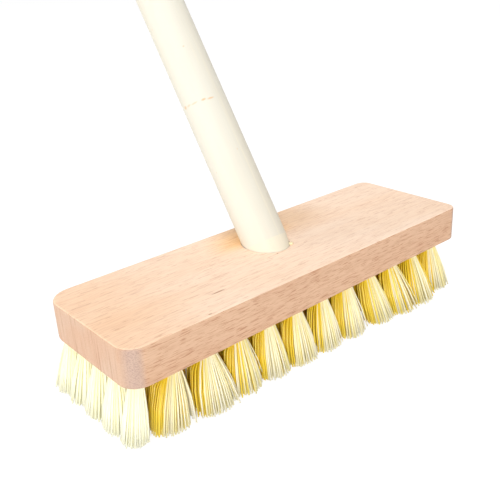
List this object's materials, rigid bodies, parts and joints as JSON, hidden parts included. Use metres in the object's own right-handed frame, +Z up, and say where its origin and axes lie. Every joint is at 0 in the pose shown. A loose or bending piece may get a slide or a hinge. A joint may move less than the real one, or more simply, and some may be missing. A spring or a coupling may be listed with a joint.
{
  "type": "floor brush",
  "caption": "Long-handled floor scrubbing brush: a flat beech block drilled for rows of fanned stiff bristle tufts, with a slanted round wooden stick.",
  "frame": {"origin": "On the floor under the bristle tips, at the middle of the whole brush's footprint, the leaning stick included", "axes": "+Z up, X along the block's length with the end of the rounder corners at -X, and +Y the way the stick leans"},
  "size_m": [0.2302, 0.6992, 1.0439],
  "materials": {
    "beech": "bare planed beech, lightly flecked",
    "pale_wood": "bare turned softwood, sanded smooth",
    "bristle": "stiff straw-coloured fibre, satin"
  },
  "bodies": {
    "root": {"block": "beech", "handle": "pale_wood", "tuft_1_01": "bristle", "tuft_1_02": "bristle", "tuft_1_03": "bristle", "tuft_1_04": "bristle", "tuft_1_05": "bristle", "tuft_1_06": "bristle", "tuft_1_07": "bristle", "tuft_1_08": "bristle", "tuft_1_09": "bristle", "tuft_1_10": "bristle", "tuft_1_11": "bristle", "tuft_1_12": "bristle", "tuft_2_01": "bristle", "tuft_2_02": "bristle", "tuft_2_03": "bristle", "tuft_2_04": "bristle", "tuft_2_05": "bristle", "tuft_2_06": "bristle", "tuft_2_08": "bristle", "tuft_2_09": "bristle", "tuft_2_10": "bristle", "tuft_2_11": "bristle", "tuft_2_12": "bristle", "tuft_3_01": "bristle", "tuft_3_02": "bristle", "tuft_3_03": "bristle", "tuft_3_04": "bristle", "tuft_3_05": "bristle", "tuft_3_06": "bristle", "tuft_3_08": "bristle", "tuft_3_09": "bristle", "tuft_3_10": "bristle", "tuft_3_11": "bristle", "tuft_3_12": "bristle", "tuft_4_01": "bristle", "tuft_4_02": "bristle", "tuft_4_03": "bristle", "tuft_4_04": "bristle", "tuft_4_05": "bristle", "tuft_4_06": "bristle", "tuft_4_08": "bristle", "tuft_4_09": "bristle", "tuft_4_10": "bristle", "tuft_4_11": "bristle", "tuft_4_12": "bristle", "tuft_5_01": "bristle", "tuft_5_02": "bristle", "tuft_5_03": "bristle", "tuft_5_04": "bristle", "tuft_5_05": "bristle", "tuft_5_06": "bristle", "tuft_5_07": "bristle", "tuft_5_08": "bristle", "tuft_5_09": "bristle", "tuft_5_10": "bristle", "tuft_5_11": "bristle", "tuft_5_12": "bristle"}
  },
  "joints": []
}
